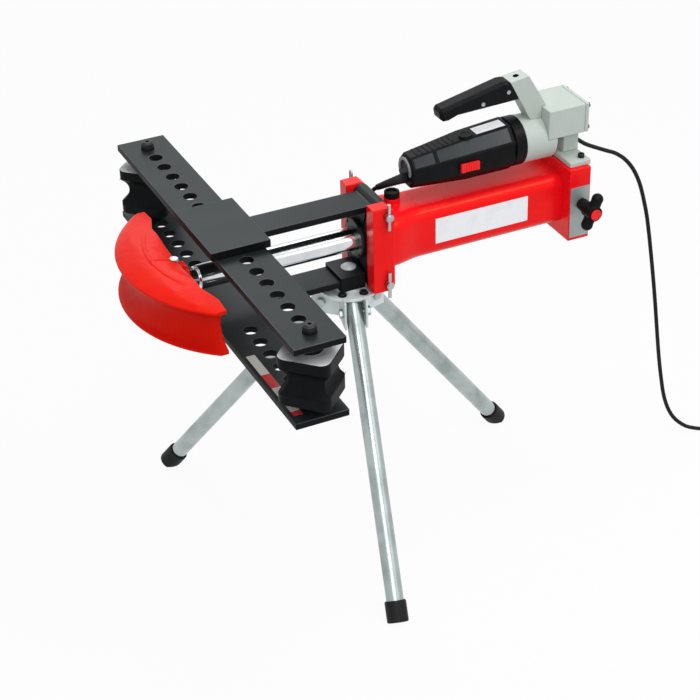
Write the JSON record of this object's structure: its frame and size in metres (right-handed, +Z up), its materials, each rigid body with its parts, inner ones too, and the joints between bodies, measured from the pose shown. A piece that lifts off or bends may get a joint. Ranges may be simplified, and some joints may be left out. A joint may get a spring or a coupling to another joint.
{
  "type": "hydraulic pipe bender",
  "caption": "Electric hydraulic pipe bender with red cylinder and former, black cross plates and counter formers, on a tripod.",
  "frame": {"origin": "middle of the machine's box, on the floor, the cord left out", "axes": "+X back along the ram towards the pump, +Y to the far side, +Z up"},
  "size_m": [1.1083, 0.6904, 0.6695],
  "materials": {
    "red_paint": "gloss red paint",
    "black_paint": "satin black paint",
    "chrome": "ground chrome",
    "steel": "bright steel",
    "zinc": "bright zinc",
    "cast_black": "black casting with machined faces",
    "grey_casting": "matt light grey casting",
    "black_plastic": "moulded black plastic",
    "red_plastic": "red plastic",
    "rubber": "black rubber",
    "black_steel": "blackened steel"
  },
  "bodies": {
    "frame": {"cylinder_tube": "red_paint", "pressure_tube": "steel", "front_flange": "red_paint", "gland_nut": "black_steel", "rod_seal": "rubber", "rear_block": "red_paint", "valve_plate": "steel", "return_spring": "steel", "lower_cross_plate": "black_paint", "lower_arm": "black_paint", "tripod_socket": "black_paint", "upper_hinge_pin": "steel", "lower_hinge_pin": "steel", "hinge_dowels": "steel", "hairpin_clips": "steel", "pump_base": "grey_casting", "pump_pedestal": "grey_casting", "pump_plunger": "steel", "gearbox_housing": "grey_casting", "gearbox_cover": "grey_casting", "pump_screws": "black_steel", "motor_neck": "grey_casting", "handle_bracket": "grey_casting", "handle_grip": "black_plastic", "motor_housing": "black_plastic", "motor_ring": "black_plastic", "stator": "steel", "motor_bearings": "steel", "tripod_hub": "zinc", "leg_bolts": "zinc", "strain_relief": "rubber", "mains_cord": "rubber", "cord_coil": "rubber", "coil_tie": "black_plastic", "mains_plug": "black_plastic"},
    "ram": {"ram_rod": "chrome", "ram_piston": "steel", "piston_seal": "rubber", "former": "red_paint", "former_pin": "steel"},
    "upper_wing": {"upper_cross_plate": "black_paint", "upper_saddle": "black_paint", "upper_arm": "black_paint"},
    "near_support": {"support_near": "cast_black"},
    "far_support": {"support_far": "cast_black"},
    "near_pin": {"pin_near": "steel"},
    "far_pin": {"pin_far": "steel"},
    "release_valve": {"valve_spindle": "steel", "release_knob": "black_plastic", "knob_cap": "red_plastic"},
    "rotor": {"armature": "steel"},
    "gear": {"drive_gear": "steel"},
    "switch": {"power_switch": "red_plastic"},
    "plug_cap": {"filler_plug": "black_plastic"},
    "right_leg": {"leg_right": "zinc", "foot_right": "rubber"},
    "far_leg": {"leg_far": "zinc", "foot_far": "rubber"},
    "near_leg": {"leg_near": "zinc", "foot_near": "rubber"}
  },
  "joints": [
    {"name": "ram_slide", "type": "slide", "parent": "frame", "child": "ram", "axis": [1, 0, 0], "range_m": [0, 0.21]},
    {"name": "upper_wing_swing", "type": "hinge", "parent": "frame", "child": "upper_wing", "pos_m": [0.0185, 0, 0.522], "axis": [0, 1, 0], "range_deg": [0, 90]},
    {"name": "near_support_turn", "type": "hinge", "parent": "frame", "child": "near_support", "pos_m": [-0.2145, -0.298, 0.466], "axis": [0, 0, 1], "continuous": true},
    {"name": "far_support_turn", "type": "hinge", "parent": "frame", "child": "far_support", "pos_m": [-0.2145, 0.298, 0.466], "axis": [0, 0, 1], "continuous": true},
    {"name": "near_pin_lift", "type": "slide", "parent": "frame", "child": "near_pin", "axis": [0, 0, 1], "range_m": [0, 0.12]},
    {"name": "far_pin_lift", "type": "slide", "parent": "frame", "child": "far_pin", "axis": [0, 0, 1], "range_m": [0, 0.12]},
    {"name": "release_valve_turn", "type": "hinge", "parent": "frame", "child": "release_valve", "pos_m": [0.3375, -0.09, 0.468], "axis": [0, 1, 0], "range_deg": [0, 270]},
    {"name": "motor_spin", "type": "hinge", "parent": "frame", "child": "rotor", "pos_m": [0.1855, 0, 0.564], "axis": [1, 0, 0], "continuous": true},
    {"name": "gear_spin", "type": "hinge", "parent": "frame", "child": "gear", "pos_m": [0.3155, 0, 0.5925], "axis": [1, 0, 0], "continuous": true},
    {"name": "switch_slide", "type": "slide", "parent": "frame", "child": "switch", "axis": [-1, 0, 0], "range_m": [0, 0.005]},
    {"name": "filler_plug_turn", "type": "hinge", "parent": "frame", "child": "plug_cap", "pos_m": [0.0555, 0.005, 0.521], "axis": [0, 0, 1], "range_deg": [0, 180]},
    {"name": "right_leg_fold", "type": "hinge", "parent": "frame", "child": "right_leg", "pos_m": [0.01703, 0.01047, 0.364], "axis": [-0.2756, 0.9613, 0], "range_deg": [0, 36]},
    {"name": "far_leg_fold", "type": "hinge", "parent": "frame", "child": "far_leg", "pos_m": [-0.04684, 0.0264, 0.364], "axis": [-0.6947, -0.7193, 0], "range_deg": [0, 36]},
    {"name": "near_leg_fold", "type": "hinge", "parent": "frame", "child": "near_leg", "pos_m": [-0.02869, -0.03687, 0.364], "axis": [0.9703, -0.2419, 0], "range_deg": [0, 36]}
  ],
  "couplings": [
    {"joint": "gear_spin", "follows": "motor_spin", "ratio": -0.58333}
  ]
}
